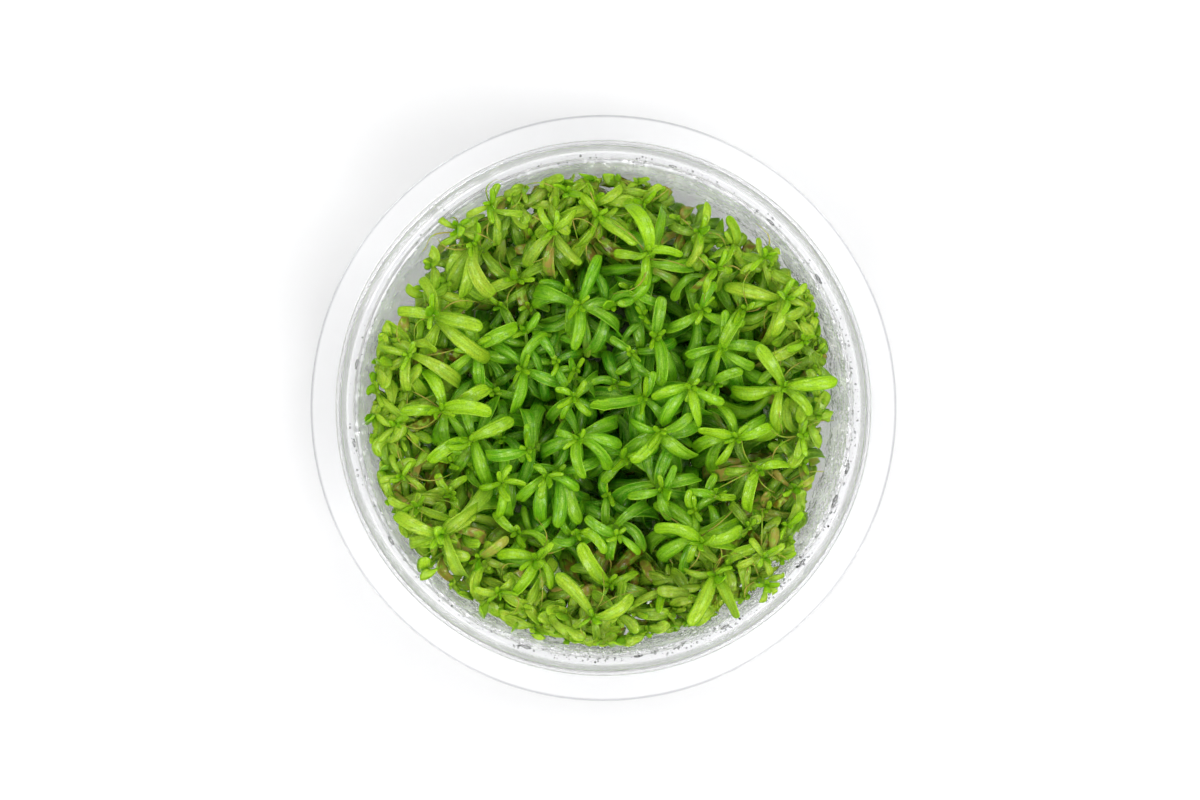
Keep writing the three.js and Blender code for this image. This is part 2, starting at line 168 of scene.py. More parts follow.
# One row for each shoot: the crown's x, y and height, the bearing of its upper leaf pair, its leaf length, its tone,
# and bearing and reach of each leaf that shows from above.
SHOOTS = (
    (7.2, 25.6, 48, 12, 7, "lime", 107, 8.5, 348, 5.6, 168, 5.5, 268, 5, 82, 9, 240, 4.5),
    (-8.3, 29.2, 47, 40, 7, "lime", 40, 5, 127, 4.5, 223, 7.2, 306, 6.8, 258, 6.8),
    (-3.8, 17, 44, 60, 8.5, "green", 62, 8.8, 255, 7.5, 163, 8, 330, 8, 30, 7.5, 272, 8, 200, 6.5),
    (-18.4, 33.2, 48, 80, 5, "green", 80, 4, 200, 4.5, 285, 4, 0, 5),
    (-23.8, 29.6, 47, 60, 5, "green", 150, 4.5, 60, 3.5, 215, 4, 330, 3.5),
    (-21.6, 27, 45, 85, 8, "green", 265, 9, 286, 9, 243, 8.5),
    (-28.1, 15.4, 45, 66, 8, "lime", 104, 6.4, 346, 8.5, 165, 6.5, 331, 11),
    (-32.2, 8.8, 45, 80, 6.5, "lime", 175, 5, 265, 6, 210, 5, 350, 9, 305, 5.5),
    (-1.6, 33.6, 43, 20, 6.5, "lime", 25, 5.5, 200, 6, 120, 4.5, 320, 6.5),
    (6.5, 34, 41, 35, 6, "green", 150, 5, 45, 4.5),
    (18.6, 23, 46, 55, 4.5, "lime", 50, 4.6, 250, 4.6, 350, 3, 150, 3.5),
    (29.9, 18.2, 46, 75, 7, "lime", 262, 6.6, 40, 4.2, 165, 9.5, 345, 4.6),
    (26.4, 24.6, 46, 30, 4, "green", 110, 3.5, 20, 3.5, 200, 4, 290, 4),
    (15.8, 29.2, 44, 75, 6, "green", 75, 5, 252, 6),
    (-14.2, 21.6, 38, 15, 7, "olive", 195, 6.5, 20, 6),
    (-26.8, -0.5, 45, 10, 7.5, "lime", 178, 6.6, 350, 8.4, 105, 7.5, 30, 8.6, 276, 5.6, 312, 6),
    (-34.2, -3, 43, 60, 5, "lime", 160, 4, 230, 4),
    (-33.4, -11.4, 43, 40, 5, "lime", 190, 4, 120, 4, 300, 5),
    (-16.8, -12.5, 44.6, 80, 6, "lime", 70, 3.4, 5, 4, 195, 4.2, 262, 6),
    (-12.6, -6.8, 43, 85, 7, "green", 86, 4.2, 186, 7, 110, 6.6),
    (-5, 1.8, 41, 55, 5.5, "lime", 320, 4.2, 150, 3.2, 240, 4),
    (-4.2, -5.2, 43, 20, 7, "lime", 160, 3.8, 285, 6.5, 318, 7.2, 345, 7.4),
    (6.7, 1.8, 42, 70, 8, "green", 70, 4.6, 195, 9, 312, 6, 272, 6),
    (14.5, 3.4, 44.8, 60, 7, "lime", 340, 6, 288, 6.6, 226, 7.6, 196, 6.6),
    (-9.5, -11.6, 44, 45, 6.5, "lime", 266, 3.6, 130, 3, 318, 6, 214, 6, 258, 8.4),
    (19.7, 10.2, 43, 80, 7, "green", 78, 6, 355, 6.6, 195, 6, 326, 6.4, 250, 6.8, 284, 8.6),
    (29.6, 3.4, 47, 10, 8, "lime", 128, 8.2, 10, 8.8, 264, 7, 322, 6.6, 190, 7.6),
    (22, -5, 43.6, 25, 6.5, "lime", 25, 6, 165, 6.6, 112, 6, 242, 5.6),
    (25.4, -10.4, 45, 15, 6, "lime", 15, 5.4, 250, 6.8, 185, 5),
    (33, -4.6, 43, 70, 4.5, "green", 80, 4, 255, 4, 345, 3),
    (31.6, -13.4, 42, 35, 4.5, "olive", 40, 4, 215, 4.5),
    (33.2, 11.2, 42, 40, 7, "green", 215, 6.8, 60, 4.5),
    (-26.5, -20.7, 48, 35, 8, "lime", 35, 7.4, 150, 8.2, 200, 7, 318, 8, 286, 4.8),
    (-17.3, -30.4, 44, 20, 5.5, "lime", 168, 4.2, 35, 3.2, 205, 4.4, 330, 5.6),
    (-11.4, -25.1, 45, 55, 7, "lime", 50, 4.2, 232, 6.6, 300, 5.8, 170, 6.6, 262, 6),
    (-1.9, -34.4, 47, 30, 8, "lime", 28, 7.6, 122, 9.2, 215, 4, 285, 4.4, 248, 4.6),
    (1, -29.4, 41, 50, 8, "green", 133, 8.4, 20, 5),
    (9.8, -13.6, 44, 95, 7, "green", 60, 4.6, 186, 5.8, 10, 6.6, 290, 5.6, 98, 7.6),
    (2.4, -21, 42, 40, 6.5, "green", 150, 6, 325, 5, 250, 5),
    (16.1, -22.2, 47, 20, 7.5, "lime", 165, 8, 20, 7.2, 350, 6.6, 250, 4),
    (18.3, -27.6, 46, 60, 8, "lime", 250, 9, 290, 8, 180, 5),
    (26.4, -24.6, 48, 45, 4.5, "green", 120, 4, 30, 4, 210, 4.4, 300, 4),
    (26.8, -29, 48, 0, 4.5, "green", 315, 3.4, 275, 4, 35, 4),
    (30.4, -19.6, 42, 60, 5, "olive", 60, 4.5, 230, 5),
    (-13.4, 6.4, 39, 65, 8, "green", 60, 7, 250, 7.5, 160, 7, 335, 7),
    (8.6, 11.6, 40, 75, 8, "green", 258, 8, 80, 7, 300, 8),
    (-21.4, 9.8, 41, 20, 8, "green", 30, 8, 215, 7),
    (3.6, -8.2, 39, 10, 7, "green", 170, 5.6, 15, 6, 320, 7, 240, 6),
    (10.6, -31, 40, 20, 7, "olive", 15, 6, 190, 6),
    (16.4, 16.4, 41, 70, 7.5, "green", 340, 7.5, 70, 5, 200, 6),
    (-6.1, 35.4, 45, 0, 5, "lime", 135, 2.8, 38, 2.8, 190, 6.6, 255, 4.5),
    (-0.9, 31.6, 45, 60, 7.5, "lime", 325, 8, 130, 5, 228, 5.5, 40, 4),
    (-31, -16.4, 44, 30, 5.5, "lime", 158, 5, 340, 6, 250, 5),
    (-20.6, -25, 42, 50, 6, "olive", 40, 6, 250, 5, 140, 5, 330, 5),
    (-22.2, -5.4, 43, 30, 8, "green", 20, 8, 215, 7.5, 110, 6, 300, 8),
    (-7.2, -11, 40, 80, 8.5, "green", 262, 9, 292, 9, 180, 6, 20, 7),
    (9.4, -3.8, 43, 40, 7.5, "lime", 30, 6, 232, 7, 318, 7.5, 140, 5),
    (23.2, 16.2, 43, 20, 7, "green", 205, 7, 20, 5, 290, 7, 110, 5),
)

# Seeds of the kinds of parts
LOWER_SEED, SIDE_SEED, SPENT_SEED, ROOT_SEED, THREAD_SEED = 4000, 900, 2000, 3000, 5000

# A leaf that a stem is to have: the drop of its base under the crown, its angles in degrees, its reach, how far it may
# sway as a share of its length, and its least width. Then the leaf that comes of it, with angles in radians.
Wish = namedtuple("Wish", "seed level drop lift curl bearing reach sway least", defaults=(LEAF_SWAY, LEAF_WIDTHS[0]))
Leaf = namedtuple("Leaf", "level seed base lift curl length width sway roll along across")


def stray(seed, amount):
    """A number from -amount to amount that is always the same for the same seed."""
    wave = math.sin(seed * 12.9898 + 4.1414) * 43758.5453
    return (2 * (wave - math.floor(wave)) - 1) * amount


def near(seed, middle, spread):
    return middle + stray(seed, spread)


def between(ends, share):
    return ends[0] + (ends[1] - ends[0]) * share


def clamped(value):
    return min(max(value, 0), 1)


def smooth(value, low, high):
    """A smooth step from 0 at low to 1 at high."""
    share = np.clip((value - low) / (high - low), 0, 1)
    return share * share * (3 - 2 * share)


def unit(vectors):
    return vectors / np.linalg.norm(vectors, axis=-1, keepdims=True)


def compass(bearing):
    """The level directions along a bearing and across it."""
    return np.array((math.cos(bearing), math.sin(bearing), 0.0)), np.array((-math.sin(bearing), math.cos(bearing), 0.0))


def held(value, limit):
    """Values held below a limit, which they near ever more slowly."""
    start = limit - SOFTNESS
    return np.where(value < start, value, limit - SOFTNESS * np.exp(np.minimum((start - value) / SOFTNESS, 0)))


def wall_radius(z):
    """Inside radius of the cup at a height, which leaves bend along."""
    taper = FLOOR_RADIUS + (LEDGE_RADIUS - FLOOR_RADIUS) * np.minimum(z / LEDGE, 1)
    return taper + (COLLAR_RADIUS - taper) * smooth(z - LEDGE, *OVER_LEDGE)


def keep_inside(points, margin):
    """Points of a leaf, held inside the cup and above the gel."""
    points = points.copy()
    points[:, 2] = held(points[:, 2], CUP_HEIGHT - LEAF_HEADROOM)
    points[:, 2] = -held(-points[:, 2], -GEL_TOP - LEAF_HEADROOM)
    radius = np.hypot(points[:, 0], points[:, 1])
    share = held(radius, wall_radius(points[:, 2]) - margin) / np.maximum(radius, 1)
    points[:, :2] *= np.minimum(share, 1)[:, None]
    return points


def make_stem(foot, crown, turn, **more):
    return SimpleNamespace(foot=foot, crown=crown, height=crown[2] - foot[2], turn=turn, leaves=[], branches=[], **more)


def stem_points(stem, t):
    t = np.atleast_1d(t)
    points = stem.foot + (stem.crown - stem.foot) * (np.maximum(t, 0) ** STEM_BOW)[:, None]
    points[:, 2] = stem.foot[2] + stem.height * t
    return points


def pairs_of(turn, levels):
    """Two opposite bearings at each level, across those of the level before."""
    return [(level, half, turn + 90 * level + 180 * half) for level in levels for half in range(2)]


def leaves_of(shoot):
    """The leaves of a row: those it names, then the pairs at right angles that continue them."""
    aims = [(min(i // 2, SOLID_LEVELS - 1), *aim) for i, aim in enumerate(shoot.seen)]
    for level, half, bearing in pairs_of(shoot.turn, range(math.ceil(len(aims) / 2), FULL_LEVELS)):
        bearing = near(shoot.index * 31 + level * 5 + half, bearing, BEARING_SPREAD)
        aims.append((level, bearing, shoot.size * LEVEL_SIZE[level]))
    for i, (level, *aim) in enumerate(aims):
        yield Wish(shoot.index * 53 + i * 3, level, LEVEL_DROP[level], LEVEL_LIFT[level], LEVEL_CURL[level], *aim)


def lower_leaves_of(shoot):
    """Whorls below the leaves of the solids, down to just over the gel."""
    for k, (drop, lift, curl, share) in enumerate(LOWER_LEVELS):
        if drop > shoot.height - LOWER_ROOM:
            break
        for part in range(LOWER_WHORL):
            seed = shoot.index * 71 + k * 7 + part + LOWER_SEED
            bearing = near(seed, shoot.turn + 60 * k + 360 / LOWER_WHORL * part, BEARING_SPREAD)
            drop_here, lift_here = near(seed + 0.2, drop, 0.9), near(seed + 0.4, lift, 12)
            reach = max(shoot.size, LOWER_REACH) * share * near(seed + 0.5, 1, 0.2)
            yield Wish(seed, FULL_LEVELS + k, drop_here, lift_here, curl, bearing, reach, SIDE_SWAY)


def leaf_at(stem, wish, lifted=0, turned=0):
    """A leaf leaves its stem at an angle of lift, bends down by curl on its way and sways a little to one side."""
    lift = math.radians(wish.lift + lifted)
    curl = math.radians(wish.curl + stray(wish.seed + 1, CURL_SPREAD))
    length = wish.reach * curl / (math.sin(lift) - math.sin(lift - curl))
    along, across = compass(math.radians(wish.bearing + turned))
    base = stem_points(stem, 1 - wish.drop / stem.height)[0]
    width = min(max(length * LEAF_SLENDERNESS, wish.least), LEAF_WIDTHS[1])
    sway = stray(wish.seed + 2, wish.sway) * length
    roll = math.radians(stray(wish.seed, LEAF_ROLL))
    return Leaf(wish.level, wish.seed, base, lift, curl, length, width, sway, roll, along, across)


def leaf_frames(leaf, s, bow=0.0):
    """The line of a leaf at shares s of its length, its tip bent aside by bow, and the directions across and off it."""
    rise = leaf.lift - leaf.curl * s
    level, steep = np.cos(rise)[:, None], np.sin(rise)[:, None]
    radius = leaf.length / leaf.curl
    out = radius * (math.sin(leaf.lift) - steep)
    high = radius * (level - math.cos(leaf.lift))
    drift = leaf.sway * 4 * s * (1 - s) + bow * s * s
    points = leaf.base + out * leaf.along + high * UP
    points = points + drift[:, None] * leaf.across
    ahead = level * leaf.along + steep * UP
    ahead = unit(ahead + ((leaf.sway * 4 * (1 - 2 * s) + bow * 2 * s) / leaf.length)[:, None] * leaf.across)
    side = leaf.across * math.cos(leaf.roll) + (-steep * leaf.along + level * UP) * math.sin(leaf.roll)
    side = unit(side - (side * ahead).sum(1)[:, None] * ahead)
    radial = np.abs((side[:, :2] * points[:, :2]).sum(1)) / np.maximum(1, np.hypot(points[:, 0], points[:, 1]))
    return keep_inside(points, WALL_MARGIN + radial * leaf.width / 2), side, np.cross(ahead, side)


class Crowd:
    """Balls along every stem and leaf that is already in its place."""

    def __init__(self):
        self.points = np.empty((0, 3))
        self.radii = np.empty(0)
        self.owners = np.empty(0, int)

    def add(self, points, radius, owner):
        self.points = np.vstack((self.points, points))
        self.radii = np.append(self.radii, np.full(len(points), radius))
        self.owners = np.append(self.owners, np.full(len(points), owner))

    def place(self, stem, wish, owner):
        """Adds a leaf to its stem in the first way that leaves room, or the one that leaves the most."""
        middle = stem_points(stem, CROWD_HEIGHT)[0]
        close = (self.owners != owner) & (np.linalg.norm(self.points - middle, axis=1) < CROWD_REACH)
        others, radii = self.points[close], self.radii[close]
        best = None
        for way in WAYS:
            leaf = leaf_at(stem, wish, *way)
            points = leaf_frames(leaf, LEAF_PROBES)[0]
            radius = leaf.width * PROBE_SHARE
            gaps = np.linalg.norm(points[:, None] - others, axis=2) - radii - radius
            room = gaps.min() if gaps.size else np.inf
            if best is None or room > best[0]:
                best = (room, leaf, points, radius)
            if room > CLEAR:
                break
        self.add(best[2], best[3], owner)
        stem.leaves.append(best[1])


def grow_tuft():
    """All stems first, then the leaves level by level, so that the upper ones keep their aim."""
    crowd = Crowd()
    tuft = []
    for index, (x, y, top, turn, size, tone, *seen) in enumerate(SHOOTS):
        foot = np.array((x * STEM_SPREAD, y * STEM_SPREAD, GEL_TOP + GAP))
        foot[:2] += stray(index * 3 + 1, STEM_WANDER), stray(index * 3 + 2, STEM_WANDER)
        crown, seen = np.array((x, y, top), float), list(zip(seen[::2], seen[1::2]))
        shoot = make_stem(foot, crown, turn, index=index, size=size, tone=tone, seen=seen)
        crowd.add(stem_points(shoot, np.arange(STEM_PROBES + 1) / STEM_PROBES), STEM_RADIUS, index)
        tuft.append(shoot)
    wishes = [(shoot, wish) for shoot in tuft for wish in leaves_of(shoot)]
    for shoot, wish in sorted(wishes, key=lambda pair: pair[1].level):
        crowd.place(shoot, wish, shoot.index)
    return tuft, crowd


# Side shoots, each from the nearest stem into the widest gap of the tuft
GAP_PITCH = 1.3  # of the places that are looked at
GAP_PROBES = np.linspace(0.0, 1.0, 8)
GAP_SHARE = 0.8  # of its half width, by which a leaf closes a gap
GAP_LEAST = 0.35  # that a side shoot fills
GAP_DEPTH = 15.0  # under the crowns, below which leaves close no gap
GAP_REACH = 2.6  # that a side shoot closes about its crown
SIDE_SHOOTS = 170  # at the most
SIDE_DEPTH = (1.5, 7.0)  # of its crown under those about it
SIDE_FORK = (5.0, 11.0)  # of its foot under its crown
SIDE_TOP = 0.9  # highest share of a stem at which it starts
SIDE_INSET = 1.4  # of a crown from the wall
SIDE_WIDTH = (1.5, 2.1)  # least width of its leaves, in the middle and near the rim
SIDE_SPREAD = 30  # of a leaf's bearing
SIDE_SIZE = 0.78  # of its leaves, as a share of the shoot's own
RIM = (29.0, 34.0)  # radii between which side shoots come to stand closer and higher
RIM_GAP = 0.4  # by which gaps count as wider there
RIM_DEPTH = 3.5  # of the deepest crowns there
RIM_REACH = 6.4  # of leaves there at the least
# Where the tuft stands off the wall or presses on it: bearing, spread to each side, and by how much
BAYS = ((350, 18, 2.5), (56, 18, 3.0), (146, 15, 1.4), (303, 18, -0.9), (250, 30, -0.9))
WALL_PRESS = 0.6  # by which leaves at the wall outgrow their room
WALL_LOOK = 4.0  # ahead of a crown, where its leaf looks for a bay
SHORTEST = 3.0  # reach of a leaf by the wall
# Leaf pairs of a side shoot: drop, lift, curl and size
BRANCH_LEVELS = ((0.5, 60, 84, 0.8), (1.6, 46, 100, 0.95), (3.0, 30, 100, 1.0), (5.0, 14, 90, 1.15))


def crown_height(place, crowns):
    """Height of the tuft at a place, from the crowns about it."""
    weight = 1 / (np.hypot(*(crowns[:, :2] - place).T) + 2.0) ** 3
    return (crowns[:, 2] * weight).sum() / weight.sum()


def bay_at(places):
    """How far the tuft stands off the wall at the bearing of each place."""
    turn = np.degrees(np.arctan2(places[..., 1], places[..., 0]))
    bay = np.zeros(turn.shape)
    for bearing, spread, depth in BAYS:
        away = np.abs((turn - bearing + 180) % 360 - 180)
        bay += depth * (1 - smooth(away, spread / 2, spread * 1.5))
    return bay


def room_along(place, bearing, height):
    """How far it is from a place to the wall, or to the bay before it."""
    along = compass(math.radians(bearing))[0][:2]
    ahead = place @ along
    radius = wall_radius(height) - bay_at(place + along * WALL_LOOK)
    return math.sqrt(max(ahead**2 - place @ place + radius**2, 0)) - ahead


def fork_of(shoot, height):
    """Where a side shoot would leave a stem, at a height or under it."""
    return stem_points(shoot, min((height - shoot.foot[2]) / shoot.height, SIDE_TOP))[0]


def gaps_of(tuft, places, tops):
    """How far each place is from the nearest leaf that is seen from above."""
    gaps = np.full(len(places), np.inf)
    for leaf in (leaf for shoot in tuft for leaf in shoot.leaves):
        points = leaf_frames(leaf, GAP_PROBES)[0]
        away = np.hypot(*(places[:, None] - points[:, :2]).transpose(2, 0, 1))
        away = np.where(points[:, 2] < tops[:, None] - GAP_DEPTH, np.inf, away)
        gaps = np.minimum(gaps, away.min(1) - leaf.width / 2 * GAP_SHARE)
    return gaps


def grow_side_shoots(tuft, crowd):
    crowns = np.array([shoot.crown for shoot in tuft])
    edge = math.floor(COLLAR_RADIUS / GAP_PITCH)
    grid = np.arange(-edge, edge + 1) * GAP_PITCH
    places = np.array([(x + GAP_PITCH / 2 * (i % 2), y) for i, y in enumerate(grid) for x in grid])
    tops = np.array([crown_height(place, crowns) for place in places])
    inside = np.hypot(*places.T) < wall_radius(np.minimum(tops, LEDGE) - SIDE_DEPTH[0]) - SIDE_INSET - bay_at(places)
    places, tops = places[inside], tops[inside]
    rims = smooth(np.hypot(*places.T), *RIM)
    gaps = gaps_of(tuft, places, tops) + rims * RIM_GAP
    for k in range(SIDE_SHOOTS):
        widest = int(np.argmax(gaps))
        if gaps[widest] < GAP_LEAST:
            break
        place, top, rim = places[widest], tops[widest], rims[widest]
        gaps = np.minimum(gaps, np.hypot(*(places - place).T) - GAP_REACH + rims * RIM_GAP)
        seed = k * 13 + SIDE_SEED
        deepest = between((SIDE_DEPTH[1], RIM_DEPTH), rim)
        top -= between((SIDE_DEPTH[0], deepest), abs(stray(seed, 1)))
        crown = np.array((*place, top))
        fork = top - sum(SIDE_FORK) / 2 - stray(seed + 1, (SIDE_FORK[1] - SIDE_FORK[0]) / 2)
        owner = min(tuft, key=lambda shoot: np.linalg.norm(fork_of(shoot, fork) - crown))
        branch = make_stem(fork_of(owner, fork), crown, stray(seed + 2, 180), seed=seed, rim=rim)
        size = owner.size * SIDE_SIZE
        size += max(RIM_REACH - size, 0) * rim
        for level, half, bearing in pairs_of(branch.turn, range(len(BRANCH_LEVELS))):
            drop, lift, curl, share = BRANCH_LEVELS[level]
            leaf_seed = seed * 3 + level * 2 + half
            bearing = near(leaf_seed, bearing, SIDE_SPREAD)
            room = room_along(place, bearing, top)
            reach = min(size * share * near(leaf_seed + 1, 1, 0.3), max(room + WALL_PRESS, SHORTEST))
            wish = Wish(leaf_seed, level, drop, lift, curl, bearing, reach, SIDE_SWAY, between(SIDE_WIDTH, rim))
            crowd.place(branch, wish, owner.index)
        owner.branches.append(branch)


# Young leaves, folded up over the growing tip
BUD_LEVELS = ((0.0, 80, 30, 1.1), (0.25, 66, 56, 2.6))  # drop, lift, curl and reach
BUD_SPREAD = 34
BUD_WIDTH = 0.9
# Old leaves that lie on the gel about a stem
SPENT_LEAVES = 6
SPENT_RISE = 1.6  # over the stem's foot
SPENT_CURL = 18
# A pair in this block is a middle and the most that a part strays from it.
SPENT_REACH = (7.0, 2.2)
# Roots in the gel, and dried threads by the rim
ROOTS = 4
ROOT_RADIUS = 0.16
ROOT_REACH = (4.2, 2.2)
ROOT_DEPTH = (GEL_TOP - 3.4, 1.6)
ROOT_START = 1.0  # under the stem's foot
ROOT_BOW = 1.6
ROOT_MARGIN = 1.6  # from the wall
THREADS = 3
THREAD_ROOM = 25.0  # radius from which shoots have them
THREAD_RADIUS = 0.15
THREAD_DROP = (3.0, 1.4)
THREAD_REACH = (6.5, 2.0)
THREAD_ARCH = 3.2
THREAD_BOW = 2.4
STRAND_RINGS = np.linspace(0, 1, 9)
STRAND_FACETS = 5


def spent_leaves_of(stem, seed):
    for k in range(SPENT_LEAVES):
        drop = stem.height - SPENT_RISE - stray(seed + k, 0.8)
        bearing = near(seed + k + 0.6, 360 / SPENT_LEAVES * k, 24)
        reach = near(seed + k + 0.8, *SPENT_REACH)
        yield leaf_at(stem, Wish(seed + k * 3, 0, drop, stray(seed + k + 0.3, 14), SPENT_CURL, bearing, reach))


def buds_of(stem, seed, share=1.0):
    for level, half, bearing in pairs_of(stem.turn, (1, 2)):
        drop, lift, curl, reach = BUD_LEVELS[level - 1]
        bud = seed + level * 2 - 2 + half
        bearing = near(bud + 0.4, bearing, BUD_SPREAD)
        size = reach * share * near(bud + 0.6, 1, 0.35)
        yield leaf_at(stem, Wish(bud, 0, drop, near(bud + 0.2, lift, 12), curl, bearing, size, least=BUD_WIDTH))


def tube(points, side, other, radius, facets):
    """Rings about a line, in the plane of two directions."""
    angle = (np.arange(facets) * 2 * math.pi / facets)[:, None]
    ring = side[..., None, :] * np.cos(angle) + other[..., None, :] * np.sin(angle)
    return points[:, None] + ring * radius[:, None, None]


def strand(start, turn, out, bow, high):
    """A line that runs out at a bearing, wanders aside by bow and rises by high."""
    along, across = compass(turn)
    return start + out[:, None] * along + bow[:, None] * across + high[:, None] * UP


def add_roots(growth, stem, seed):
    s = STRAND_RINGS
    for k in range(ROOTS):
        turn = math.radians(near(seed + k, 360 / ROOTS * k, 40))
        out = near(seed + k + 0.2, *ROOT_REACH) * s**0.8
        down = near(seed + k + 0.4, *ROOT_DEPTH) * s**1.2
        bow = stray(seed + k + 0.6, ROOT_BOW) * np.sin(math.pi * 1.5 * s)
        points = strand(stem.foot, turn, out, bow, -ROOT_START - down)
        share = (wall_radius(points[:, 2]) - ROOT_MARGIN) / np.maximum(np.hypot(points[:, 0], points[:, 1]), 1)
        points[:, :2] *= np.minimum(share, 1)[:, None]
        rings = tube(points, *np.eye(3)[:2], ROOT_RADIUS * (1.1 - 0.8 * s), STRAND_FACETS)
        growth.add_rings(rings, np.zeros_like(rings), ROOT_TONE)


def add_threads(growth, stem, seed):
    s = STRAND_RINGS
    for k in range(THREADS):
        base = stem_points(stem, 1 - near(seed + k + 0.1, *THREAD_DROP) / stem.height)[0]
        turn = math.radians(near(seed + k + 0.3, 360 / THREADS * k, 50))
        out = near(seed + k + 0.5, *THREAD_REACH) * s
        bow = stray(seed + k + 0.7, THREAD_BOW) * np.sin(math.pi * s)
        points = strand(base, turn, out, bow, THREAD_ARCH * np.sin(math.pi * 0.8 * s) - s)
        points = keep_inside(points, WALL_MARGIN + THREAD_RADIUS)
        rings = tube(points, compass(turn)[1], UP, THREAD_RADIUS * (1.1 - 0.6 * s), STRAND_FACETS)
        growth.add_rings(rings, np.full_like(rings, 0.9), THREAD_TONE)


# Blades: rings along them, and points across their upper and under side
FINE_RINGS = np.array((0, 0.04, 0.1, 0.19, 0.3, 0.42, 0.55, 0.67, 0.78, 0.87, 0.93, 0.97, 1.0))
PLAIN_RINGS = np.array((0, 0.08, 0.2, 0.36, 0.54, 0.71, 0.84, 0.92, 0.97, 1.0))
FINE_ACROSS = (-1, -0.8, -0.4, 0, 0.4, 0.8, 1), (0.75, 0.35, 0, -0.35, -0.75)
PLAIN_ACROSS = (-1, -0.6, 0, 0.6, 1), (0.6, 0, -0.6)
# A blade is between a strap and a spatula: its width at the base and its narrowing before the tip, as shares of the
# most, and where along it the blade is full and its round tip starts.
STRAP = {"base": 0.62, "narrow": 0.16, "full": 0.36, "tip": 0.86}
SPATULA = {"base": 0.42, "narrow": 0.0, "full": 0.76, "tip": 0.8}
NARROW_FROM = 0.45
TIP_LEAST = 0.12
BLADE_THICKNESS = 0.36
BLADE_SIDES = (0.35, -0.65)  # of the thickness, over and under the middle line
BLADE_FOLD = (0.0, 0.5)  # of the margins, as a share of half the width: middle and stray
BLADE_TWIST = 62  # at the most
TWIST_FROM = 0.2  # share of a blade's length at which it has none
BLADE_BOW = 0.14  # sideways at its tip, as a share of its length
MIDRIB = 0.11
MIDRIB_SIDES = (-0.6, -1.0)  # a groove above and a ridge below
MIDRIB_WIDTH = 0.22
WAVE = (0.09, 0.09)  # height at the margins, in the same way
WAVES = (1.4, 0.6)  # along a blade: middle and stray
CRUMPLE = 3.0
CRUMPLED_SIZE = 5.0  # leaves of shoots up to this leaf length are crumpled
STEM_FACETS = 10
STEM_TIP = 0.4  # radius at a shoot's crown, and at a side shoot's foot
STEM_DEPTH = 4.0  # in the gel
BRANCH_TIP = 0.3
BRANCH_BUDS = 0.75  # size of its buds as a share of the shoot's


def make_piece(name, vertices, faces):
    """A smooth mesh in the scene, from vertices in millimetres."""
    mesh = bpy.data.meshes.new(name)
    mesh.from_pydata((np.array(vertices, float) * MM).tolist(), [], faces)
    mesh.polygons.foreach_set("use_smooth", np.ones(len(mesh.polygons), bool))
    mesh.update()
    return add_object(name, mesh)


def bands(first, n_rings, n_points):
    """Quads between rings that follow one another."""
    index = first + np.arange(n_points)
    following = np.roll(index, -1)
    faces = []
    for low in range(0, (n_rings - 1) * n_points, n_points):
        high = low + n_points
        faces.extend(map(tuple, np.stack((low + index, low + following, high + following, high + index), 1).tolist()))
    return faces


class Growth:
    def __init__(self):
        self.vertices, self.faces, self.blade, self.tone = [], [], [], []
        self.count = 0

    def add_rings(self, rings, blade, tone):
        """A closed loft through rings."""
        n_rings, n_points = rings.shape[:2]
        index = self.count + np.arange(n_points)
        self.faces.extend(bands(self.count, n_rings, n_points))
        self.faces.append(tuple(index[::-1].tolist()))
        self.faces.append(tuple((index + (n_rings - 1) * n_points).tolist()))
        self.vertices.append(rings.reshape(-1, 3))
        self.blade.append(blade.reshape(-1, 3))
        self.tone.append(np.tile(tone, (n_rings * n_points, 1)))
        self.count += n_rings * n_points

    def build(self, name):
        piece = make_piece(name, np.vstack(self.vertices), self.faces)
        for key, kind, rows in (("blade", "vector", self.blade), ("tone", "color", self.tone)):
            attribute = piece.data.attributes.new(key, "FLOAT_" + kind.upper(), "POINT")
            attribute.data.foreach_set(kind, np.vstack(rows).astype(np.float32).ravel())
        return piece


def blade_of(u, v, seed):
    """Blade coordinates: u across, v along and the leaf's seed."""
    u, v = np.meshgrid(u, v)
    return np.stack((u, v, np.full(u.shape, seed)), 2)


def blade_width(s, spatula):
    """Width of a blade along its length, as a share of the most."""
    base, narrow, full, tip = (between((STRAP[key], SPATULA[key]), spatula) for key in STRAP)
    width = base + (1 - base) * smooth(s, 0, full)
    width = width * (1 - narrow * np.clip((s - NARROW_FROM) / (1 - NARROW_FROM), 0, 1) ** 1.6)
    tip = np.clip((s - tip) / (1 - tip), 0, 1)
    return width * np.maximum(np.sqrt(1 - tip**2.4), TIP_LEAST)


